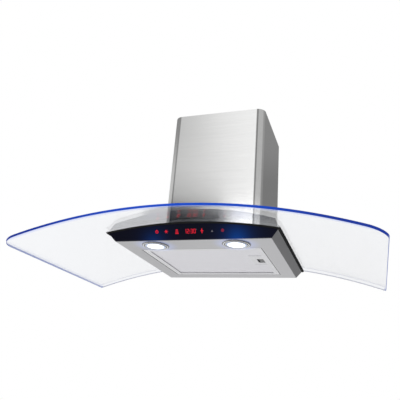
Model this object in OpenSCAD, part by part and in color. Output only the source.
// Curved glass range hood, hung on a wall over a cooktop.
// The wall is the plane Y = 0, the front faces -Y and Z points up. The origin is midway between the
// two holes that hang the hood on the wall. Inside the modules heights count from the underside of
// the body, and hung() lowers them to that origin.

/* [Glass canopy] */
// Width of the glass across the wall
glass_w = 900; // [800:5:1100]
// How far the glass stands out past the front of the body's underside
glass_overhang = 127; // [100:1:180]
// Thickness of the glass
glass_t = 6; // [5:0.5:8]
// Radius that the glass is bent to
glass_bend_r = 1387.5; // [1200:0.5:1800]
// Radius of the front corners of the glass
glass_corner_r = 30; // [10:1:60]
// Height of the glass's underside above the underside of the body, at the middle
glass_rise = 38.5; // [36:0.5:46]

/* [Body] */
// Width of the body's underside
body_w = 402; // [392:1:430]
// Depth of the strip of the body that holds the lamps, from the filter to the fascia's lower edge
lamp_strip = 81; // [78:1:110]
// How far the body's sides lean outwards from the vertical, in degrees
side_lean = 42; // [30:1:46]
// How far the control fascia leans forwards from the vertical, in degrees
front_lean = 27; // [15:1:32]
// Thickness of the steel sheet of the body
sheet_t = 1; // [0.8:0.1:1.2]
// Thickness of the control fascia
fascia_t = 4; // [3:0.5:5]
// Thickness of the rubber seal under the glass
seal_t = 3.5; // [2.5:0.5:4]
// How far the seal stands out past the body
seal_lip = 5; // [3:0.5:7]

/* [Filter] */
// Width of the grease filter
filter_w = 320; // [280:1:324]
// Depth of the grease filter, front to back
filter_d = 270; // [230:1:300]
// Thickness of the grease filter
filter_t = 9; // [8:0.5:10]
// Width of the filter frame's rim, seen from below
filter_rim = 15; // [10:1:18]
// Distance from the wall to the filter
filter_back = 42; // [38:1:44]
// Travel of the filter latch
latch_travel = 4; // [3:0.5:4.5]

/* [Lamps] */
// Distance between the centres of the two lamps
lamp_pitch = 214; // [170:2:230]
// Distance from the body's front edge to the lamp centres
lamp_setback = 43.5; // [42:0.5:44]
// Outer diameter of a lamp's bezel
lamp_d = 72; // [68:1:72]
// Diameter of a lamp's bright lens
lens_d = 50; // [40:1:52]

/* [Chimney covers] */
// Width of the lower cover
cover_w = 281; // [278:1:300]
// Depth of the lower cover
cover_d = 243; // [240:1:260]
// Radius of the covers' upright front corners
cover_corner_r = 23; // [10:1:32]
// Height of the covers' top above the underside of the body
cover_top = 447; // [430:1:520]
// Thickness of the covers' sheet
cover_t = 1; // [0.8:0.1:1.2]

/* [Blower] */
// How much further from the axle the scroll lies at its mouth than at its tongue
scroll_growth = 52; // [46:1:56]
// Depth of the air space in front of the scroll
chamber_d = 50; // [40:1:60]
// Number of blades on the fan wheel
wheel_blades = 32; // [24:1:36]
// Diameter of the motor
motor_d = 96; // [80:1:100]
// Diameter of the motor shaft
shaft_d = 8; // [6:0.5:10]

/* [Outlet] */
// Outer diameter of the collar that the duct slides over
collar_d = 149; // [119:1:150]
// Height of the collar
collar_h = 50; // [46:1:60]

/* [Wall fixing] */
// Height of the hanging holes above the underside of the body
hang_rise = 285; // [275:1:292]
// Distance between the two hanging holes
hang_pitch = 200; // [180:2:208]
// Diameter of the hanging holes
hang_hole_d = 8.5; // [6:0.5:10]
// Distance between the two lower securing holes
lock_pitch = 150; // [120:2:190]
// Diameter of the lower securing holes
lock_hole_d = 5; // [4:0.5:6]

/* [Hidden] */
$fn = 64;
arch_fn = 720;
over = 1;
seat = 0.15;
slip = 0.05;
hex = 6;

// The body is as deep as its filter and lamp strip, and the glass stands out past it
body_d = filter_back + filter_d + lamp_strip;
glass_d = body_d + glass_overhang;

// The glass and all that follows its underside are bent to arcs about one line below the hood's middle
arch_r = glass_bend_r;
glass_sag = arch_r - sqrt(pow(arch_r, 2) - pow(glass_w / 2, 2));
arch_z = glass_rise - arch_r;
seal_top = arch_r - seat;
seal_low = seal_top - seal_t;
plate_top = seal_low - seat;
plate_low = plate_top - sheet_t;
tray_top = plate_low - seat;
gasket_t = 1.5;
gasket_low = arch_r + glass_t + seat;
gasket_top = gasket_low + gasket_t;
casing_t = 1.2;
lock_z = 75;
foot_low = gasket_top + seat;
foot_top = foot_low + casing_t;
tab_low = foot_top + seat;
tab_top = tab_low + cover_t;
column_low = -glass_sag - glass_rise;
column_h = 3 * glass_rise + 2 * glass_sag;

// Casing round the blower, and the hole in the glass and in the tray's top plate under it
foot_w = 15;
cover_side_gap = 3.5;
cover_front_gap = 16;
casing_w = cover_w - 2 * foot_w - 2 * cover_side_gap;
casing_d = cover_d - foot_w - cover_front_gap;
casing_top = 310;
foot_lap = 10;
throat_w = casing_w - 2 * foot_lap;
throat_d = casing_d - foot_lap;
plate_lip = 4;
plate_w = throat_w - 2 * plate_lip;
plate_d = throat_d - plate_lip;
clamp_angle = asin((casing_w / 2 + foot_w / 2) / arch_r);
clamp_back = 35;
clamp_inset = 17;
clamp_front = casing_d - clamp_inset;
clamp_hole_d = 10;
clamp_d = 4;

// Body tray
flange_w = 12;
tray_front = (fascia_t + seat) / cos(front_lean);
sheet_side = sheet_t / cos(side_lean);
sheet_front = sheet_t / cos(front_lean);
filter_gap = 1.5;
pivot_gap = 2.5;
upstand_h = 7;

// Filter and latch
frame_t = 1.2;
mesh_gap = 1;
mesh_side = 0.3;
pivot_in = 3;
pivot_z = 4;
pin_d = 4;
pin_len = 12;
pin_out = 6;
latch_w = 35;
latch_d = 86;
latch_y = -194;
latch_face_z = 1.6;
cup_d = 38;
cup_y = -187;
cup_wall = 0.8;
cup_right = 2;
thumb_w = 12;
thumb_gap = 0.6;
thumb_end_gap = 1;
spring_room = 1.4;
cup_w = thumb_w + thumb_gap + latch_travel + spring_room;
tongue_w = 12;
tongue_t = 1.8;
tongue_short = 0.4;

// Lamps
can_wall = 1;
can_gap = 1;
can_flange = 6;
bezel_t = 3;
lens_t = 2;
lamp_board_t = 1.6;
lamp_board_room = 2;

// Blower: its scroll fills the casing's width and takes the depth that the motor and the air leave
axle_z = 184;
scroll_t = 1.5;
scroll_left_gap = 1.99;
scroll_right_gap = 3.3;
tongue_angle = 55;
left_share = (180 - tongue_angle) / (360 - tongue_angle);
scroll_room = casing_w - 2 * casing_t - 2 * scroll_t - scroll_left_gap - scroll_right_gap;
scroll_r = (scroll_room - scroll_growth * (1 + left_share)) / 2;
axle_x = casing_w / 2 - casing_t - scroll_right_gap - scroll_t - scroll_r - scroll_growth;
motor_y = -5;
motor_len = 46;
motor_wall = 1.5;
grommet_t = 3;
scroll_y = motor_y - motor_len - grommet_t;
scroll_front = chamber_d - casing_d;
scroll_w = scroll_y - scroll_front;
wheel_clear = 5;
wheel_room = 30;
wheel_rim = 16;
wheel_d = 2 * (scroll_r - wheel_clear);
wheel_w = scroll_w - wheel_room;
inlet_d = wheel_d - 2 * wheel_rim;
mouth_top = casing_top - seat;

// Outlet collar
collar_t = 1.5;
collar_flange = 8;
collar_edge = 1.5;
collar_forward = 2;
collar_x = casing_w / 2 - collar_d / 2 - collar_flange - collar_edge;
collar_y = (scroll_y + scroll_front) / 2 - collar_forward;
lid_top = casing_top + casing_t;
collar_base = lid_top + seat;
pivot_rise = 24;
rod_d = 5;
flap_t = 1.2;
flap_gap = 0.8;
knuckle_d = 9;

// Moves what is drawn from the underside of the body to the hanging holes' origin
module hung() {
    translate([0, 0, -hang_rise]) children();
}

// Solid disc of the arch, as deep as the glass and a little more
module arch_disc(r) {
    translate([0, over, arch_z]) rotate([90, 0, 0])
        cylinder(r = r, h = glass_d + 2 * over, $fn = arch_fn);
}

// Sheet bent to the arch between two radii, with the children as its outline in plan
module arch_sheet(r_low, r_high) {
    intersection() {
        difference() {
            arch_disc(r_high);
            arch_disc(r_low);
        }
        translate([0, 0, column_low]) linear_extrude(column_h) children();
    }
}

// Places the children square to the arch at an angle from the middle and a distance from the wall
module on_arch(angle, back, r) {
    translate([0, -back, arch_z]) rotate([0, angle, 0]) translate([0, 0, r]) children();
}

// The four places where screws clamp the glass
module at_clamps(r) {
    for (side = [-1, 1])
        for (back = [clamp_back, clamp_front])
            on_arch(side * clamp_angle, back, r) children();
}

// Plan outline against the wall, with the two front corners rounded
module plan(w, d, r) {
    translate([-w / 2, r - d]) square([w, d - r]);
    translate([r - w / 2, -d]) square([w - 2 * r, r]);
    for (side = [-1, 1])
        translate([side * (w / 2 - r), r - d]) circle(r);
}

// Plan rectangle against the wall
module plan_box(w, d) {
    translate([-w / 2, -d]) square([w, d]);
}

// Outer shape of the body, drawn in by the given amounts, above a height and under an arch radius
module body_block(side_in, front_in, back_in, low, r_high) {
    high = glass_rise;
    side_low = body_w / 2 + low * tan(side_lean) - side_in;
    side_high = body_w / 2 + high * tan(side_lean) - side_in;
    front_low = body_d + low * tan(front_lean) - front_in;
    front_high = body_d + high * tan(front_lean) - front_in;
    intersection() {
        translate([0, -back_in, 0]) rotate([90, 0, 0]) linear_extrude(glass_d)
            polygon([[-side_low, low], [side_low, low], [side_high, high], [-side_high, high]]);
        rotate([90, 0, 90]) linear_extrude(glass_w, center = true)
            polygon([[over, low], [-front_low, low], [-front_high, high], [over, high]]);
        arch_disc(r_high);
    }
}

// Frame lying on the fascia's face: X across, Y up the face, Z outwards
module on_fascia() {
    translate([0, -body_d, 0]) rotate([90 + front_lean, 0, 0]) children();
}

// Pan head screw or rivet that points down, with its head on z = 0 and a hexagon recess
module pan_screw(d, length) {
    head_r = 0.95 * d;
    head_h = 0.6 * d;
    difference() {
        union() {
            cylinder(r = head_r, h = head_h);
            translate([0, 0, -length]) cylinder(d = d, h = length + head_h / 2);
        }
        translate([0, 0, head_h / 2]) cylinder(d = 0.8 * d, h = head_h, $fn = hex);
    }
}

// Ring along Z
module ring(d_out, d_in, h) {
    difference() {
        cylinder(d = d_out, h = h);
        translate([0, 0, -over]) cylinder(d = d_in, h = h + 2 * over);
    }
}

filter_x0 = -filter_w / 2;
filter_x1 = filter_w / 2;
filter_y0 = -filter_back - filter_d;
filter_y1 = -filter_back;
pivot_x = filter_x0 + pivot_in;
open_x0 = filter_x0 - pivot_gap;
open_x1 = filter_x1 + filter_gap;
open_y0 = filter_y0 - filter_gap;
open_y1 = filter_y1 + filter_gap;
can_d = lamp_d - 2 * can_flange;
lamp_hole_d = can_d + 2 * can_gap;
lamp_x = lamp_pitch / 2;
lamp_y = lamp_setback - body_d;
board_w = 210;
board_h = 21;
board_t = 1.6;
board_low = 7;
board_room = 2;
display_w = 52;
display_h = 16;
display_t = 4;

// Folded steel tray: floor with the filter and lamp openings, leaning sides and an inward flange
module body_tray() {
    color("#c9c9c7") hung() difference() {
        union() {
            difference() {
                body_block(0, tray_front, 0, 0, tray_top);
                body_block(sheet_side, tray_front + sheet_front, sheet_t, sheet_t, tray_top - sheet_t);
                body_block(flange_w, tray_front + flange_w, flange_w, sheet_t, tray_top + over);
            }
            translate([open_x0 - sheet_t, open_y0 - sheet_t, 0])
                cube([open_x1 - open_x0 + 2 * sheet_t, open_y1 - open_y0 + 2 * sheet_t, upstand_h]);
        }
        translate([open_x0, open_y0, -over])
            cube([open_x1 - open_x0, open_y1 - open_y0, upstand_h + 2 * over]);
        for (side = [-1, 1])
            translate([side * lamp_x, lamp_y, -over]) cylinder(d = lamp_hole_d, h = sheet_t + 2 * over);
        translate([pivot_x, open_y1 + sheet_t + over, pivot_z]) rotate([90, 0, 0])
            cylinder(d = pin_d + 2 * slip, h = open_y1 - open_y0 + 2 * (sheet_t + over));
        on_fascia() translate([-board_w / 2 - board_room, board_low - board_room, -fascia_t - 3 * board_h])
            cube([board_w + 2 * board_room, board_h + 2 * board_room, 3 * board_h]);
    }
}

// Steel plate bent to the arch that closes the tray round the air throat
module tray_top_plate() {
    color("#b9bab9") hung() difference() {
        body_block(0, tray_front, 0, 0, plate_top);
        arch_disc(plate_low);
        translate([-plate_w / 2, -plate_d, -over]) cube([plate_w, plate_d - plate_lip, 2 * glass_rise]);
        at_clamps(plate_low - over) cylinder(d = clamp_d + 2 * seat, h = sheet_t + 2 * over);
    }
}

// Black glass fascia that carries the touch keys, cut to the arch along its top
module control_fascia() {
    color("#0c0e1a") hung() difference() {
        body_block(0, 0, 0, 0, seal_low - seat);
        on_fascia() translate([-body_w, -body_d, -fascia_t - 2 * body_d])
            cube([2 * body_w, 2 * body_d, 2 * body_d]);
    }
}

// Touch board behind the fascia, in a window of the tray's front wall
module control_board() {
    chip_w = 9;
    chip_t = 1.2;
    pad_d = 10;
    color("#1f5c3a") hung() on_fascia() translate([0, board_low, -fascia_t - seat - board_t]) {
        translate([-board_w / 2, 0, 0]) cube([board_w, board_h, board_t]);
        for (place = [-1, 1])
            translate([place * board_w / 3 - chip_w / 2, (board_h - chip_w) / 2, -chip_t])
                cube([chip_w, chip_w, chip_t + board_t / 2]);
        for (place = [-1, 1])
            translate([place * board_w / 4, board_h / 2, -chip_t])
                cylinder(d = pad_d, h = chip_t + board_t / 2);
    }
}

// Number display soldered to the back of the touch board
module display_module() {
    face = -fascia_t - 2 * seat - board_t;
    color("#7a1518") hung() on_fascia()
        translate([-display_w / 2, board_low + (board_h - display_h) / 2, face - display_t])
            cube([display_w, display_h, display_t]);
}

// Rubber strip between the tray and the glass, standing out past the tray all round but the wall
module glass_seal() {
    color("#15161a") hung() difference() {
        body_block(-seal_lip, -seal_lip / 2, 0, 0, seal_top);
        arch_disc(seal_low);
        body_block(flange_w, tray_front + flange_w, flange_w, 0, seal_top + over);
    }
}

// Bent safety glass with rounded front corners and a notch at the wall for the blower's throat
module glass_canopy() {
    color("#dfe8f5", 0.35) hung() difference() {
        arch_sheet(arch_r, arch_r + glass_t) difference() {
            plan(glass_w, glass_d, glass_corner_r);
            translate([0, over]) plan_box(throat_w, throat_d + over);
        }
        at_clamps(arch_r - over) cylinder(d = clamp_hole_d, h = glass_t + 2 * over);
    }
}

// Nylon bushes that keep the clamp screws off the glass
module glass_bushes() {
    color("#e8e6dc") hung() at_clamps(arch_r)
        ring(clamp_hole_d - 2 * seat, clamp_d + 2 * seat, glass_t);
}

// Screws that clamp the cover's tabs, the blower casing's foot and the glass to the tray
module clamp_screws() {
    color("#9a9b9d") hung() at_clamps(tab_top + seat)
        pan_screw(clamp_d, tab_top - plate_low + 3 * sheet_t + clamp_d);
}

// Nuts of the clamp screws, under the tray's top plate
module clamp_nuts() {
    nut_af = 1.9 * clamp_d;
    nut_t = 0.8 * clamp_d;
    color("#8f9092") hung() at_clamps(plate_low - seat - nut_t)
        difference() {
            cylinder(d = nut_af, h = nut_t, $fn = hex);
            translate([0, 0, -over]) cylinder(d = clamp_d + 2 * slip, h = nut_t + 2 * over);
        }
}

// Board of blue lights that stands on the top plate and shines into the edge of the notch
module edge_light_board() {
    strip_t = 1.6;
    strip_w = throat_w - 4 * plate_lip;
    light = 2.2;
    lights = 21;
    strip_back = throat_d - light - strip_t - seat;
    spread = 2 * asin((strip_w / 2 - light) / arch_r);
    color("#f1f1ea") hung() {
        arch_sheet(plate_top + seat, arch_r + glass_t)
            translate([-strip_w / 2, -strip_back - strip_t]) square([strip_w, strip_t]);
        for (i = [0 : lights - 1])
            on_arch((i / (lights - 1) - 0.5) * spread, 0, arch_r + glass_t / 2)
                translate([-light / 2, -strip_back - strip_t - light + seat, -light / 2])
                    cube([light, light, light]);
    }
}

// Depth that a lamp can stand up into the body, under the top plate
lamp_head = arch_z + sqrt(pow(plate_low, 2) - pow(lamp_x + can_d / 2, 2)) - 3 * sheet_t;

// Turned and plated ring of a lamp, with two steps and a groove round the lens
module lamp_bezel(side) {
    step = bezel_t / 3;
    groove = 1.2;
    inner_r = lens_d / 2;
    outer_r = lamp_d / 2;
    mid_r = (inner_r + outer_r) / 2;
    color("#dadde2") hung() translate([side * lamp_x, lamp_y, 0]) rotate_extrude()
        polygon([
            [inner_r, -seat], [inner_r, -bezel_t + step], [inner_r + step, -bezel_t],
            [mid_r - groove, -bezel_t], [mid_r - groove, -bezel_t + groove],
            [mid_r + groove, -bezel_t + groove], [mid_r + groove, -bezel_t + step / 2],
            [outer_r - step, -bezel_t + step], [outer_r, -step], [outer_r, -seat]
        ]);
}

// Frosted glass lens, held between the bezel and the can
module lamp_lens(side) {
    lens_rim = 2;
    color("#fbfdff") hung() translate([side * lamp_x, lamp_y, 0]) {
        translate([0, 0, -bezel_t + seat]) cylinder(d = lens_d - 2 * seat, h = bezel_t);
        cylinder(d = lens_d + 2 * lens_rim, h = lens_t);
    }
}

// Aluminium can behind a lamp, which carries its heat away
module lamp_can(side) {
    fins = 5;
    fin_h = 2;
    fin_w = 1.6;
    top = lamp_head - fin_h;
    color("#a9abad") hung() translate([side * lamp_x, lamp_y, lens_t + seat]) {
        difference() {
            cylinder(d = can_d, h = top - lens_t);
            translate([0, 0, -over]) cylinder(d = can_d - 2 * can_wall, h = top - lens_t - can_wall + over);
        }
        for (i = [0 : fins - 1])
            translate([0, (i - (fins - 1) / 2) * can_d / (2 * fins), top - lens_t - can_wall])
                translate([-can_d / 3, -fin_w / 2, 0]) cube([2 * can_d / 3, fin_w, fin_h + can_wall]);
    }
}

// Round circuit board with the light chips of a lamp
module lamp_board(side) {
    chips = 8;
    chip = 3;
    ring_share = 0.3;
    top = lamp_head - can_wall - 3 * seat - lamp_board_room;
    color("#eceae0") hung() translate([side * lamp_x, lamp_y, top - lamp_board_t]) {
        cylinder(d = can_d - 2 * can_wall - 2 * seat, h = lamp_board_t);
        for (i = [0 : chips - 1])
            rotate([0, 0, i * 360 / chips]) translate([ring_share * can_d, 0, -chip / 4])
                cube([chip, chip, chip], center = true);
    }
}

// Spring clips that pull the two lamps up against the tray's floor
module lamp_clips() {
    clip_w = 8;
    clip_t = 0.6;
    clip_reach = 5;
    clip_h = lamp_head / 2;
    color("#c2c4c7") hung() for (side = [-1, 1])
        for (turn = [0, 180])
            translate([side * lamp_x, lamp_y, sheet_t + seat]) rotate([0, 0, turn])
                translate([can_d / 2 + seat, -clip_w / 2, 0]) {
                    cube([clip_t, clip_w, clip_h]);
                    cube([clip_reach, clip_w, clip_t]);
                    translate([clip_reach - clip_t, 0, 0]) cube([clip_t, clip_w, clip_h / 3]);
                }
}

latch_x1 = filter_x1 - filter_rim;
latch_x0 = latch_x1 - latch_w;
cup_x1 = latch_x1 - cup_right;
cup_x0 = cup_x1 - cup_w;
mesh_z0 = frame_t + mesh_gap;
mesh_z1 = filter_t - frame_t - mesh_side;
cup_top = filter_t - frame_t;
tongue_z = (latch_face_z + cup_top) / 2 + frame_t / 2;
tongue_tip = open_x1 - tongue_short;
thumb_x1 = cup_x1 - thumb_gap;
thumb_x0 = thumb_x1 - thumb_w;
thumb_d = cup_d - 2 * cup_wall - 2 * thumb_end_gap;

// Channel frame of the grease filter: one wall and a lip above and below
module filter_frame() {
    color("#c4c5c4") hung() difference() {
        translate([filter_x0, filter_y0, 0]) cube([filter_w, filter_d, filter_t]);
        translate([filter_x0 + filter_rim, filter_y0 + filter_rim, -over])
            cube([filter_w - 2 * filter_rim, filter_d - 2 * filter_rim, filter_t + 2 * over]);
        translate([filter_x0 + 2 * pivot_in, filter_y0 + frame_t, frame_t])
            cube([filter_w - frame_t - 2 * pivot_in, filter_d - 2 * frame_t, filter_t - 2 * frame_t]);
        for (end = [filter_y0 - over, filter_y1 - pin_len + pin_out])
            translate([pivot_x, end, pivot_z]) rotate([-90, 0, 0])
                cylinder(d = pin_d, h = pin_len - pin_out + over);
        translate([filter_x1 - 2 * filter_rim, cup_y - tongue_w / 2 - seat, tongue_z - tongue_t / 2 - seat])
            cube([3 * filter_rim, tongue_w + 2 * seat, tongue_t + 2 * seat]);
    }
}

// Pack of fine expanded aluminium mesh held in the channel
module filter_mesh() {
    mesh_x0 = filter_x0 + 2 * pivot_in + mesh_side;
    mesh_x1 = filter_x1 - frame_t - mesh_side;
    plate_rise = latch_face_z + cup_wall + mesh_side;
    color("#d6d7d6") hung() difference() {
        translate([mesh_x0, filter_y0 + frame_t + mesh_side, mesh_z0])
            cube([mesh_x1 - mesh_x0, filter_d - 2 * frame_t - 2 * mesh_side, mesh_z1 - mesh_z0]);
        translate([cup_x0 - cup_wall - mesh_side, cup_y - cup_d / 2 - mesh_side, mesh_z0 - over])
            cube([filter_w, cup_d + 2 * mesh_side, filter_t]);
        translate([latch_x0 - mesh_side, latch_y - latch_d / 2 - mesh_side, mesh_z0 - over])
            cube([latch_w + 2 * mesh_side, latch_d + 2 * mesh_side, plate_rise - mesh_z0 + over]);
    }
}

// Two steel pins at the filter's left corners, on which it swings in the tray's upstands
module filter_pins() {
    color("#8e9092") hung() for (end = [filter_y0 - pin_out, filter_y1 - pin_len + pin_out])
        translate([pivot_x, end, pivot_z]) rotate([-90, 0, 0]) cylinder(d = pin_d, h = pin_len);
}

// Pressed plate in the filter with a finger cup for the latch
module latch_plate() {
    rim_h = 0.5;
    rim_w = 1.5;
    color("#cfd0cf") hung() difference() {
        union() {
            translate([latch_x0, latch_y - latch_d / 2, latch_face_z]) cube([latch_w, latch_d, cup_wall]);
            for (end = [latch_y - latch_d / 2, latch_y + latch_d / 2 - rim_w])
                translate([latch_x0, end, latch_face_z - rim_h])
                    cube([latch_w, rim_w, rim_h + cup_wall / 2]);
            translate([cup_x0 - cup_wall, cup_y - cup_d / 2, latch_face_z])
                cube([cup_w + 2 * cup_wall, cup_d, cup_top - latch_face_z]);
        }
        translate([cup_x0, cup_y - cup_d / 2 + cup_wall, latch_face_z - over])
            cube([cup_w, cup_d - 2 * cup_wall, cup_top - cup_wall - latch_face_z + over]);
        translate([cup_x1 - over, cup_y - tongue_w / 2 - seat, tongue_z - tongue_t / 2 - seat])
            cube([cup_wall + 2 * over, tongue_w + 2 * seat, tongue_t + 2 * seat]);
    }
}

spring_d = 3;
spring_wire = 0.5;
spring_curls = 9;
spring_bore = 8;
spring_x0 = cup_x0 + seat;
spring_x1 = thumb_x0 + spring_bore - seat;

// Sliding latch: a thumb block in the cup with a tongue that reaches the tray's rim
module latch_slider() {
    thumb_z0 = latch_face_z + cup_wall / 2;
    thumb_z1 = cup_top - cup_wall - seat;
    color("#3a3c40") hung() difference() {
        union() {
            translate([thumb_x0, cup_y - thumb_d / 2, thumb_z0])
                cube([thumb_w, thumb_d, thumb_z1 - thumb_z0]);
            translate([thumb_x1 - over, cup_y - tongue_w / 2, tongue_z - tongue_t / 2])
                cube([tongue_tip - thumb_x1 + over, tongue_w, tongue_t]);
        }
        translate([thumb_x0 - over, cup_y, tongue_z]) rotate([0, 90, 0])
            cylinder(d = spring_d + 2 * spring_wire, h = spring_bore + over);
    }
}

// A tube of six sides swept along a helix that runs in X
function helix_point(turn, x0, x1, turns, r) =
    [x0 + (x1 - x0) * turn / turns, r * cos(360 * turn), r * sin(360 * turn)];
function helix_side(turn, k, r, wire, tilt) =
    let(out = [0, cos(360 * turn), sin(360 * turn)],
        across = cross(out, [sin(tilt), -sin(360 * turn) * cos(tilt), cos(360 * turn) * cos(tilt)]))
    wire / 2 * (out * cos(k * 60) + across * sin(k * 60));

module coil(x0, x1, turns, d, wire) {
    rings_per_turn = 8;
    sides = 6;
    rings = turns * rings_per_turn;
    r = (d - wire) / 2;
    tilt = atan((x1 - x0 - wire) / turns / (2 * PI * r));
    points = [
        for (i = [0 : rings])
            for (k = [0 : sides - 1])
                helix_point(i / rings_per_turn, x0 + wire / 2, x1 - wire / 2, turns, r)
                    + helix_side(i / rings_per_turn, k, r, wire, tilt)
    ];
    walls = [
        for (i = [0 : rings - 1])
            for (k = [0 : sides - 1])
                let(a = i * sides + k, b = i * sides + (k + 1) % sides)
                    each [[a, b, b + sides], [a, b + sides, a + sides]]
    ];
    start = [for (k = [1 : sides - 2]) [0, k + 1, k]];
    last = rings * sides;
    end = [for (k = [1 : sides - 2]) [last, last + k, last + k + 1]];
    echo(least_gap_between_curls = (x1 - x0 - wire) / turns * cos(tilt) - wire);
    polyhedron(points, concat(walls, start, end));
}

// Wound spring that pushes the latch out
module latch_spring() {
    color("#b5b7ba") hung() translate([0, cup_y, tongue_z])
        coil(spring_x0, spring_x1, spring_curls, spring_d, spring_wire);
}

// Places the children on the fan's axle, with Z running forwards out of the wall
module on_axle(y) {
    translate([axle_x, y, axle_z]) rotate([90, 0, 0]) children();
}

// Plan outline of the casing's foot, cut back at the wall to clear the returns of the cover
module foot_outline() {
    clear = cover_t + 2 * seat;
    plan_box(casing_w, casing_d + foot_w);
    translate([0, -clear]) plan_box(casing_w + 2 * foot_w, casing_d + foot_w - clear);
}

// Folded casing round the blower: three walls, a back plate on the wall and a foot on the glass
module motor_housing() {
    color("#aeb0b2") hung() difference() {
        union() {
            intersection() {
                difference() {
                    translate([-casing_w / 2, -casing_d, 0]) cube([casing_w, casing_d, casing_top]);
                    translate([casing_t - casing_w / 2, casing_t - casing_d, -over])
                        cube([casing_w - 2 * casing_t, casing_d - 2 * casing_t, casing_top + 2 * over]);
                }
                difference() {
                    translate([-casing_w, -2 * casing_d, 0])
                        cube([2 * casing_w, 3 * casing_d, 2 * casing_top]);
                    arch_disc(foot_low);
                }
            }
            arch_sheet(foot_low, foot_top) difference() {
                foot_outline();
                translate([0, -casing_t]) plan_box(casing_w - 2 * casing_t, casing_d - 2 * casing_t);
            }
        }
        at_clamps(foot_low - over) cylinder(d = clamp_d + 2 * seat, h = casing_t + 2 * over);
        for (side = [-1, 1]) {
            translate([side * hang_pitch / 2, over, hang_rise]) rotate([90, 0, 0])
                cylinder(d = hang_hole_d, h = casing_t + 2 * over);
            translate([side * lock_pitch / 2, over, lock_z]) rotate([90, 0, 0])
                cylinder(d = lock_hole_d, h = casing_t + 2 * over);
        }
        at_lid_screws() cylinder(d = lid_screw_d + 2 * seat, h = 4 * lid_screw_d, center = true);
    }
}

// Soft gasket between the glass and the foot of the blower casing
module housing_gasket() {
    color("#2a2b2e") hung() difference() {
        arch_sheet(gasket_low, gasket_top) difference() {
            foot_outline();
            translate([0, over]) plan_box(throat_w, throat_d + over);
        }
        at_clamps(gasket_low - over) cylinder(d = clamp_hole_d, h = gasket_t + 2 * over);
    }
}

lid_lip = 14;
lid_screw_d = 4;
lid_screw_back = 45;
lid_screw_inset = 22;
lid_screw_front = casing_d - lid_screw_inset;

// The four places where screws hold the lid, with Z pointing out of the casing's sides
module at_lid_screws() {
    for (side = [-1, 1])
        for (back = [lid_screw_back, lid_screw_front])
            translate([side * casing_w / 2, -back, casing_top - lid_lip / 2])
                rotate([0, side * 90, 0]) children();
}

gland_x = -60;
gland_y = -25;
gland_d = 16;
cable_d = 8;

// Steel lid of the blower casing, with the hole under the outlet collar
module housing_lid() {
    lip_x = casing_w / 2 + seat;
    color("#b4b6b8") hung() difference() {
        translate([-lip_x - casing_t, -casing_d - seat - casing_t, casing_top - lid_lip])
            cube([2 * (lip_x + casing_t), casing_d + seat + casing_t, lid_lip + casing_t]);
        translate([-lip_x, -casing_d - seat, casing_top - lid_lip - over])
            cube([2 * lip_x, casing_d + seat + over, lid_lip + over]);
        translate([collar_x, collar_y, casing_top - over])
            cylinder(d = collar_d - 2 * collar_t, h = casing_t + 2 * over);
        translate([gland_x, gland_y, casing_top - over]) cylinder(d = gland_d, h = casing_t + 2 * over);
        at_lid_screws() cylinder(d = lid_screw_d + 2 * seat, h = 4 * lid_screw_d, center = true);
        at_collar_screws() cylinder(d = collar_screw_d + 2 * slip, h = 4 * collar_screw_d, center = true);
    }
}

// Screws through the lid's lips into the casing's sides
module housing_screws() {
    color("#9a9b9d") hung() at_lid_screws() translate([0, 0, 2 * seat + casing_t])
        pan_screw(lid_screw_d, 2 * seat + 3 * casing_t);
}

// Radius of the scroll at an angle from the tongue round to the outlet, and its points
function scroll_radius(a) = scroll_r + scroll_growth * (a - tongue_angle) / (360 - tongue_angle);
function scroll_point(a, extra) =
    [axle_x + (scroll_radius(a) + extra) * cos(a), axle_z + (scroll_radius(a) + extra) * sin(a)];
scroll_step = (360 - tongue_angle) / 30;
mouth_x0 = axle_x + scroll_r * cos(tongue_angle);
mouth_x1 = axle_x + scroll_r + scroll_growth;

// Outline of the scroll in the XZ plane, grown by a wall, with its mouth straight up
module scroll_outline(extra, top) {
    polygon(concat(
        [[mouth_x0 - extra, top]],
        [for (a = [tongue_angle : scroll_step : 360 + scroll_step / 2]) scroll_point(a, extra)],
        [[mouth_x1 + extra, top]]
    ));
}

// Extrudes an XZ outline forwards from a distance in front of the wall
module forwards(y, depth) {
    translate([0, y, 0]) rotate([90, 0, 0]) linear_extrude(depth) children();
}

ear_r = 6;
ear_angles = [100, 160, 220, 280, 330];
scroll_screw_d = 3;

// The places of the screws round the scroll
module at_ears(y) {
    for (a = ear_angles)
        translate([scroll_point(a, scroll_t + ear_r / 2)[0], y, scroll_point(a, scroll_t + ear_r / 2)[1]])
            rotate([90, 0, 0]) children();
}

// Back half of the scroll: spiral wall and back wall, open to the front
module scroll_casing() {
    stay_w = 10;
    color("#8c8f93") hung() difference() {
        union() {
            forwards(scroll_y, scroll_w) scroll_outline(scroll_t, mouth_top);
            at_ears(scroll_front + stay_w) cylinder(r = ear_r, h = stay_w);
        }
        forwards(scroll_y - scroll_t, scroll_w) scroll_outline(0, mouth_top + over);
        on_axle(scroll_y + over) cylinder(d = motor_boss_d + 2 * seat, h = scroll_t + 2 * over);
        at_motor_screws(scroll_y + over) cylinder(d = motor_screw_d + 2 * seat, h = scroll_t + 2 * over);
        at_ears(scroll_front + stay_w / 2) cylinder(d = scroll_screw_d, h = stay_w);
    }
}

inlet_lip = 4;
guard_wire = 2.2;
guard_rings = 4;
guard_feet = 4;
guard_margin = 12;
guard_r = inlet_d / 2 + inlet_lip + guard_margin;
guard_off = 8;

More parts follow.
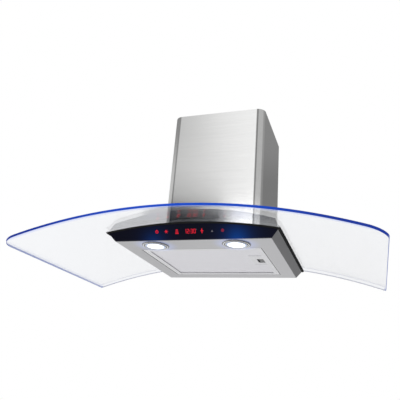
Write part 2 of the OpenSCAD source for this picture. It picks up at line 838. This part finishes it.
// Front wall of the scroll with the fan's inlet
module scroll_cover() {
    color("#96999d") hung() difference() {
        union() {
            forwards(scroll_front - seat, scroll_t) scroll_outline(scroll_t, mouth_top);
            at_ears(scroll_front - seat) cylinder(r = ear_r, h = scroll_t);
        }
        on_axle(scroll_front + over) cylinder(d = inlet_d + 2 * inlet_lip, h = scroll_t + 2 * over);
        at_ears(scroll_front + over) cylinder(d = scroll_screw_d + 2 * seat, h = scroll_t + 2 * over);
        at_guard_screws(scroll_front + over) cylinder(d = guard_wire, h = scroll_t + 2 * over);
    }
}

// Screws that hold the scroll's front wall to its ears
module scroll_screws() {
    color("#9a9b9d") hung() at_ears(scroll_front - 2 * seat - scroll_t)
        pan_screw(scroll_screw_d - 2 * slip, scroll_t + 2 * seat + scroll_screw_d);
}

// Bell mouth that leads the air into the fan wheel
module inlet_ring() {
    bell_r = inlet_lip - seat;
    bell_depth = 9;
    bell_wall = 1.2;
    flange = 5;
    inner = inlet_d / 2 - bell_wall;
    color("#3c3e42") hung() on_axle(scroll_front - seat) rotate_extrude() {
        difference() {
            translate([inner, -bell_depth]) square([bell_wall, bell_depth + scroll_t]);
            translate([0, -2 * bell_depth]) square([bell_wall, over]);
        }
        translate([inner, scroll_t + seat]) square([bell_r + bell_wall + flange, bell_wall]);
        translate([inner + bell_wall / 2, scroll_t - bell_wall]) square([bell_r, 2 * bell_wall]);
    }
}

// The feet of the wire guard
module at_guard_screws(y) {
    on_axle(y) for (i = [0 : guard_feet - 1])
        rotate([0, 0, 45 + i * 360 / guard_feet]) translate([guard_r, 0, 0]) children();
}

// Welded wire guard in front of the fan's inlet
module inlet_guard() {
    stand = scroll_t + guard_off;
    color("#cfd1d4") hung() {
        on_axle(scroll_front - seat) translate([0, 0, stand]) {
            cylinder(r = guard_r / (2 * guard_rings), h = guard_wire);
            for (i = [1 : guard_rings])
                rotate_extrude() translate([guard_r * i / guard_rings - guard_wire, guard_wire / 2])
                    circle(d = guard_wire);
            for (i = [0 : guard_feet - 1])
                rotate([0, 0, 45 + i * 360 / guard_feet])
                    translate([0, 0, -guard_wire / 3]) rotate([0, 90, 0])
                        cylinder(d = guard_wire, h = guard_r);
        }
        at_guard_screws(scroll_front) cylinder(d = guard_wire - 4 * slip, h = stand);
    }
}

wheel_gap = 4;
wheel_y = scroll_y - scroll_t - wheel_gap;
wheel_plate_t = 1.5;
hub_d = 24;
hub_len = 26;
blade_t = 0.9;
blade_depth = 13;

// One blade of the wheel, a thin arc that leans forwards
module blade_outline() {
    steps = 4;
    sweep = 50;
    bend_r = blade_depth / (2 * sin(sweep / 2));
    polygon(concat(
        [for (i = [0 : steps]) let(a = (i / steps - 0.5) * sweep)
            [bend_r * sin(a), bend_r * (cos(a) - cos(sweep / 2))]],
        [for (i = [steps : -1 : 0]) let(a = (i / steps - 0.5) * sweep)
            [(bend_r - blade_t) * sin(a), (bend_r - blade_t) * cos(a) - bend_r * cos(sweep / 2)]]
    ));
}

// Fan wheel: plate and hub at the back, a ring of blades and a band at the front
module fan_wheel() {
    wheel_r = wheel_d / 2;
    band = 4;
    color("#5b5f64") hung() on_axle(wheel_y) difference() {
        union() {
            cylinder(r = wheel_r, h = wheel_plate_t);
            cylinder(d = hub_d, h = hub_len);
            translate([0, 0, wheel_w - band]) ring(wheel_d, wheel_d - 2 * blade_t, band);
            translate([0, 0, wheel_plate_t / 2]) linear_extrude(wheel_w - wheel_plate_t / 2 - seat)
                for (i = [0 : wheel_blades - 1])
                    rotate(i * 360 / wheel_blades)
                        translate([wheel_r - blade_t / 2 - blade_depth / 2, 0]) blade_outline();
        }
        translate([0, 0, -over]) cylinder(d = shaft_d + 2 * slip, h = hub_len + 2 * over);
    }
}

motor_boss_d = 34;
motor_screw_d = 4;
motor_ears = 4;
motor_ear_out = 5;
motor_ear_t = 3;
motor_ear_wide = 7;
motor_ear_r = motor_d / 2 + motor_ear_out;
bearing_d = 22;
bearing_w = 7;
winding_t = 5;
rotor_d = 48;
air_gap = 0.5;
grommet_d = 12;
motor_end = bearing_w + motor_wall;
stack_y = motor_y - motor_end - 2 * seat - winding_t;
stack_len = motor_len - 2 * motor_end - 2 * winding_t - 4 * seat;

// The places of the motor's fixing screws
module at_motor_screws(y) {
    on_axle(y) for (i = [0 : motor_ears - 1])
        rotate([0, 0, 45 + i * 360 / motor_ears]) translate([motor_ear_r, 0, 0]) children();
}

// Die cast motor casing with a bearing seat at each end and four fixing ears
module motor_casing() {
    bore_d = motor_d - 2 * motor_wall;
    color("#a3a6aa") hung() difference() {
        union() {
            on_axle(motor_y) cylinder(d = motor_d, h = motor_len);
            on_axle(motor_y - motor_len + over) cylinder(d = motor_boss_d, h = grommet_t + over);
            at_motor_screws(motor_y - motor_len + motor_ear_t) cylinder(r = motor_ear_wide, h = motor_ear_t);
        }
        on_axle(motor_y - motor_end) cylinder(d = bore_d, h = motor_len - 2 * motor_end);
        on_axle(motor_y - motor_wall) cylinder(d = bearing_d, h = motor_len + grommet_t);
        on_axle(motor_y + over) cylinder(d = shaft_d + 4 * seat, h = motor_wall + 2 * over);
        at_motor_screws(motor_y) cylinder(d = motor_screw_d + 2 * seat, h = motor_len + over);
    }
}

// Laminated stator with its windings, pressed into the motor casing
module motor_stator() {
    winding_d = motor_d - 8 * motor_wall;
    color("#7c5a3a") hung() on_axle(stack_y) {
        ring(motor_d - 2 * motor_wall - 2 * seat, rotor_d + 2 * air_gap, stack_len);
        translate([0, 0, -winding_t])
            ring(winding_d, rotor_d + 6 * air_gap, stack_len + 2 * winding_t);
    }
}

// Cage rotor on the shaft
module motor_rotor() {
    color("#6e7074") hung() on_axle(stack_y) ring(rotor_d, shaft_d + 2 * slip, stack_len);
}

// Shaft through the motor to the end of the fan wheel's hub
module motor_shaft() {
    start = motor_y - motor_wall / 2;
    color("#c8cacd") hung() on_axle(start)
        cylinder(d = shaft_d, h = start - wheel_y + hub_len + over);
}

// Ball bearings at the two ends of the motor
module motor_bearings() {
    color("#b0b3b7") hung() for (y = [motor_y - motor_wall - seat, motor_y - motor_len + bearing_w])
        on_axle(y) ring(bearing_d - 2 * slip, shaft_d + 2 * slip, bearing_w);
}

// Rubber washers between the motor's ears and the scroll
module motor_grommets() {
    color("#1d1e21") hung() at_motor_screws(motor_y - motor_len - seat)
        ring(grommet_d, motor_screw_d + 2 * seat, grommet_t - 2 * seat);
}

// Screws that hold the motor to the scroll's back wall
module motor_screws() {
    color("#9a9b9d") hung() at_motor_screws(motor_y - motor_len + motor_ear_t + seat)
        rotate([180, 0, 0]) pan_screw(motor_screw_d, motor_ear_t + grommet_t + 2 * scroll_t + seat);
}

capacitor_in = 27;
capacitor_x = casing_w / 2 - capacitor_in;
capacitor_z = 78;
capacitor_d = 30;
capacitor_len = 60;

// Run capacitor of the motor, on a stud in the casing's back plate
module run_capacitor() {
    cap_t = 4;
    color("#d8dadc") hung() translate([capacitor_x, -casing_t - seat, capacitor_z]) rotate([90, 0, 0]) {
        cylinder(d = capacitor_d, h = capacitor_len - cap_t);
        translate([0, 0, capacitor_len - cap_t]) cylinder(d = capacitor_d - cap_t, h = cap_t);
        for (side = [-1, 1])
            translate([side * capacitor_d / 5 - cap_t / 8, -cap_t / 2, capacitor_len - over])
                cube([cap_t / 4, cap_t, cap_t + over]);
    }
}

box_w = 46;
box_h = 38;
box_wall = 1.6;
box_x0 = casing_t - casing_w / 2 + seat;
box_front_gap = 42;
box_back_gap = 17;
box_d = casing_d - box_front_gap - lid_screw_back - box_back_gap;
box_y0 = box_front_gap - casing_d;
box_z1 = casing_top - seat;
harness_d = 5;
harness_room = 0.5;
harness_z = 284;
harness_side = 19;
harness_x = harness_side - body_w / 2;
harness_low = 8;
harness_back = -25;
harness_bend = 6;
harness_off = 2;
harness_in = box_x0 + box_w / 2 - harness_off;

// Open plastic box for the electronics, hung under the lid
module control_box() {
    color("#d9d6cc") hung() difference() {
        translate([box_x0, box_y0, box_z1 - box_h]) cube([box_w, box_d, box_h]);
        translate([box_x0 - over, box_y0 + box_wall, box_z1 - box_h + box_wall])
            cube([box_w - box_wall + over, box_d - 2 * box_wall, box_h - 2 * box_wall]);
        translate([harness_in, box_y0 + box_d - box_wall - over, harness_z]) rotate([-90, 0, 0])
            cylinder(d = harness_d + 2 * harness_room, h = box_wall + 2 * over);
    }
}

// Snap lid that closes the box at the casing's wall
module control_box_lid() {
    color("#cfccc2") hung() translate([box_x0, box_y0 + box_wall + seat, box_z1 - box_h + box_wall + seat])
        cube([box_wall, box_d - 2 * box_wall - 2 * seat, box_h - 2 * box_wall - 2 * seat]);
}

// Circuit board in the box: speed relays, supply for the lights and terminals
module driver_board() {
    pad = 2;
    part_h = 14;
    board_x = box_x0 + box_w - box_wall - seat - board_t - pad;
    color("#2c6b45") hung() {
        translate([board_x, box_y0 + box_wall + pad, box_z1 - box_h + box_wall + seat])
            cube([board_t, box_d - 2 * box_wall - 2 * pad, box_h - 2 * box_wall - 2 * seat]);
        for (i = [0 : 3])
            translate([board_x - part_h, box_y0 + box_d * (1 + i) / 6, box_z1 - 2 * box_h / 3])
                cube([part_h + board_t / 2, box_d / 10, box_h / 3]);
    }
}

// Points of a route with each inner corner rounded by a curve that starts a reach away from it
function unit(v) = v / norm(v);
function rounded(route, reach, steps) = concat(
    [route[0]],
    [for (i = [1 : len(route) - 2])
        let(from = route[i] + reach * unit(route[i - 1] - route[i]),
            to = route[i] + reach * unit(route[i + 1] - route[i]))
            for (k = [0 : steps])
                let(s = k / steps) from * pow(1 - s, 2) + route[i] * 2 * s * (1 - s) + to * pow(s, 2)],
    [route[len(route) - 1]]
);

// Direction of a route at each of its points, and a sideways direction carried along without twisting
function headings(points) = [
    for (i = [0 : len(points) - 1])
        unit(points[min(i + 1, len(points) - 1)] - points[max(i - 1, 0)])
];
function carried(ways, side, i = 0) = i == len(ways) ? []
    : let(flat = unit(side - ways[i] * (ways[i] * side))) concat([flat], carried(ways, flat, i + 1));

// Round cable with flat ends, swept along a route of points
module cable(route, d, reach) {
    sides = 8;
    points = rounded(route, reach, 4);
    ways = headings(points);
    across = carried(ways, [0, 0, 1]);
    rings = [
        for (i = [0 : len(points) - 1])
            for (k = [0 : sides - 1])
                let(a = k * 360 / sides)
                    points[i] + d / 2 * (across[i] * cos(a) + cross(ways[i], across[i]) * sin(a))
    ];
    walls = [
        for (i = [0 : len(points) - 2])
            for (k = [0 : sides - 1])
                let(a = i * sides + k, b = i * sides + (k + 1) % sides)
                    each [[a, b + sides, b], [a, a + sides, b + sides]]
    ];
    last = (len(points) - 1) * sides;
    start = [for (k = [1 : sides - 2]) [0, k, k + 1]];
    end = [for (k = [1 : sides - 2]) [last, last + k + 1, last + k]];
    polyhedron(rings, concat(walls, start, end));
}

// Cable from the touch board round the filter and up the casing's back to the control box
module control_cable() {
    lift = board_low + board_h / 2;
    start_y = -body_d - lift * sin(front_lean) + (fascia_t + board_t + harness_d) / cos(front_lean);
    start_z = lift * cos(front_lean);
    corner_y = start_y + harness_d;
    route = [
        [-board_w / 2 + harness_d, start_y, start_z],
        [-board_w / 2 - 2 * harness_d, corner_y, start_z],
        [harness_x, corner_y, harness_low],
        [harness_x, harness_back, harness_low],
        [harness_in, harness_back, harness_low + harness_d],
        [harness_in, harness_back, harness_z],
        [harness_in, box_y0 + box_d - box_wall - over, harness_z]
    ];
    color("#202124") hung() cable(route, harness_d, harness_bend);
}

// Screwed gland in the lid where the mains lead comes in
module cable_gland() {
    nut_af = 22;
    nut_t = 5;
    neck = 8;
    color("#232427") hung() translate([gland_x, gland_y, 0]) difference() {
        union() {
            translate([0, 0, casing_top - neck])
                cylinder(d = gland_d - 2 * slip, h = neck + casing_t + nut_t);
            translate([0, 0, lid_top + seat]) cylinder(d = nut_af, h = nut_t, $fn = hex);
            translate([0, 0, lid_top + seat + nut_t]) cylinder(d = gland_d, h = nut_t);
            translate([0, 0, casing_top - seat - nut_t]) cylinder(d = nut_af, h = nut_t, $fn = hex);
        }
        translate([0, 0, casing_top - neck - over]) cylinder(d = cable_d, h = neck + 3 * nut_t + casing_t);
    }
}

collar_screw_d = 3;
collar_screws = 4;
collar_turn = 30;

// The places of the collar's screws
module at_collar_screws() {
    translate([collar_x, collar_y, collar_base + collar_t]) for (i = [0 : collar_screws - 1])
        rotate([0, 0, collar_turn + i * 360 / collar_screws])
            translate([collar_d / 2 + collar_flange / 2, 0, 0]) children();
}

collar_bore = collar_d - 2 * collar_t;
pivot_h = collar_base + pivot_rise;

// Duct collar with a flange, a stop ring for the flaps and holes for their rod
module outlet_collar() {
    stop_w = 3;
    stop_h = 2;
    color("#44474b") hung() difference() {
        translate([collar_x, collar_y, collar_base]) {
            ring(collar_d, collar_bore, collar_h);
            ring(collar_d + 2 * collar_flange, collar_bore, collar_t);
            translate([0, 0, pivot_rise - flap_t / 2 - seat - stop_h])
                ring(collar_d - collar_t, collar_bore - 2 * stop_w, stop_h);
        }
        translate([collar_x, collar_y, pivot_h]) rotate([90, 0, 0])
            cylinder(d = rod_d + 2 * slip, h = collar_d + 2 * over, center = true);
        at_collar_screws() cylinder(d = collar_screw_d + 2 * slip, h = 4 * collar_screw_d, center = true);
    }
}

knuckles = 6;
knuckle_gap = 0.4;
knuckle_pitch = (collar_bore - 4 * flap_gap - 2 * rod_d) / knuckles;

// Half round flap with every other knuckle on the rod
module flap(side) {
    flap_r = collar_bore / 2 - flap_gap;
    reach = knuckle_d / 2 + knuckle_gap;
    hung() translate([collar_x, collar_y, pivot_h]) difference() {
        union() {
            intersection() {
                translate([0, 0, -flap_t / 2]) cylinder(r = flap_r, h = flap_t);
                translate([side > 0 ? reach : -flap_r, -flap_r, -flap_t / 2])
                    cube([flap_r - reach, 2 * flap_r, flap_t]);
            }
            for (i = [0 : knuckles - 1])
                if ((i % 2 == 0) == (side > 0))
                    translate([0, (i - knuckles / 2) * knuckle_pitch + knuckle_gap, 0]) {
                        rotate([-90, 0, 0]) cylinder(d = knuckle_d, h = knuckle_pitch - 2 * knuckle_gap);
                        translate([side > 0 ? 0 : -2 * reach, 0, -flap_t / 2])
                            cube([2 * reach, knuckle_pitch - 2 * knuckle_gap, flap_t]);
                    }
        }
        rotate([90, 0, 0]) cylinder(d = rod_d + 2 * slip, h = collar_d, center = true);
    }
}

module flap_left() {
    color("#53565b") flap(-1);
}

module flap_right() {
    color("#53565b") flap(1);
}

// Steel rod across the collar that both flaps turn on
module flap_rod() {
    color("#b9bcc0") hung() translate([collar_x, collar_y, pivot_h]) rotate([90, 0, 0])
        cylinder(d = rod_d, h = collar_d - collar_t, center = true);
}

// Screws that hold the collar to the lid
module collar_screws_set() {
    color("#9a9b9d") hung() at_collar_screws() translate([0, 0, seat])
        pan_screw(collar_screw_d, collar_t + casing_t + collar_screw_d);
}

tab_d = 20;
tab_reach = 14;
back_return = 12;

// Plan outline of a chimney cover: three sides with round corners and a return at the wall
module cover_outline(w, d, r) {
    difference() {
        plan(w, d, r);
        translate([0, -cover_t]) plan(w - 2 * cover_t, d - 2 * cover_t, r - cover_t);
        translate([0, over]) plan_box(w - 2 * back_return, 2 * over + cover_t);
    }
}

// Lower chimney cover, standing on the glass, with four tabs under the clamp screws
module lower_chimney() {
    color("#c6c8c9") hung() {
        difference() {
            linear_extrude(cover_top) cover_outline(cover_w, cover_d, cover_corner_r);
            arch_disc(arch_r + glass_t + seat);
        }
        difference() {
            intersection() {
                arch_sheet(tab_low, tab_top) difference() {
                    plan_box(cover_w - cover_t, cover_d - cover_t);
                    plan_box(cover_w - 2 * tab_reach, cover_d);
                }
                for (back = [clamp_back, clamp_front])
                    translate([-cover_w, -back - tab_d / 2, -glass_sag])
                        cube([2 * cover_w, tab_d, 3 * glass_sag]);
            }
            at_clamps(tab_low - over) cylinder(d = clamp_d + 2 * seat, h = cover_t + 2 * over);
        }
    }
}

cover_slip = 0.8;
upper_low = 72;
upper_drop = 2;

// Upper chimney cover, nested in the lower one and drawn up to the ceiling when it is fitted
module upper_chimney() {
    draw_in = cover_t + cover_slip;
    slot_w = 8;
    slot_h = 60;
    slots = 7;
    first_slot = -cover_d / 2 - (slots - 0.5) * slot_w;
    color("#bfc1c3") hung() difference() {
        translate([0, 0, upper_low]) linear_extrude(cover_top - upper_drop - upper_low)
            translate([0, -draw_in])
                cover_outline(cover_w - 2 * draw_in, cover_d - 2 * draw_in, cover_corner_r - draw_in);
        for (i = [0 : slots - 1])
            translate([-cover_w, first_slot + i * 2 * slot_w, cover_top - 2 * slot_h])
                cube([2 * cover_w, slot_w, slot_h]);
    }
}

body_tray();
tray_top_plate();
control_fascia();
control_board();
display_module();
glass_seal();
glass_canopy();
glass_bushes();
clamp_screws();
clamp_nuts();
edge_light_board();
lamp_bezel(-1);  // lamp_bezel_left
lamp_bezel(1);  // lamp_bezel_right
lamp_lens(-1);  // lamp_lens_left
lamp_lens(1);  // lamp_lens_right
lamp_can(-1);  // lamp_can_left
lamp_can(1);  // lamp_can_right
lamp_board(-1);  // lamp_board_left
lamp_board(1);  // lamp_board_right
lamp_clips();
filter_frame();
filter_mesh();
filter_pins();
latch_plate();
latch_slider();
latch_spring();
motor_housing();
housing_gasket();
housing_lid();
housing_screws();
scroll_casing();
scroll_cover();
scroll_screws();
inlet_ring();
inlet_guard();
fan_wheel();
motor_casing();
motor_stator();
motor_rotor();
motor_shaft();
motor_bearings();
motor_grommets();
motor_screws();
run_capacitor();
control_box();
control_box_lid();
driver_board();
control_cable();
cable_gland();
outlet_collar();
flap_left();
flap_right();
flap_rod();
collar_screws_set();  // collar_screws
lower_chimney();
upper_chimney();
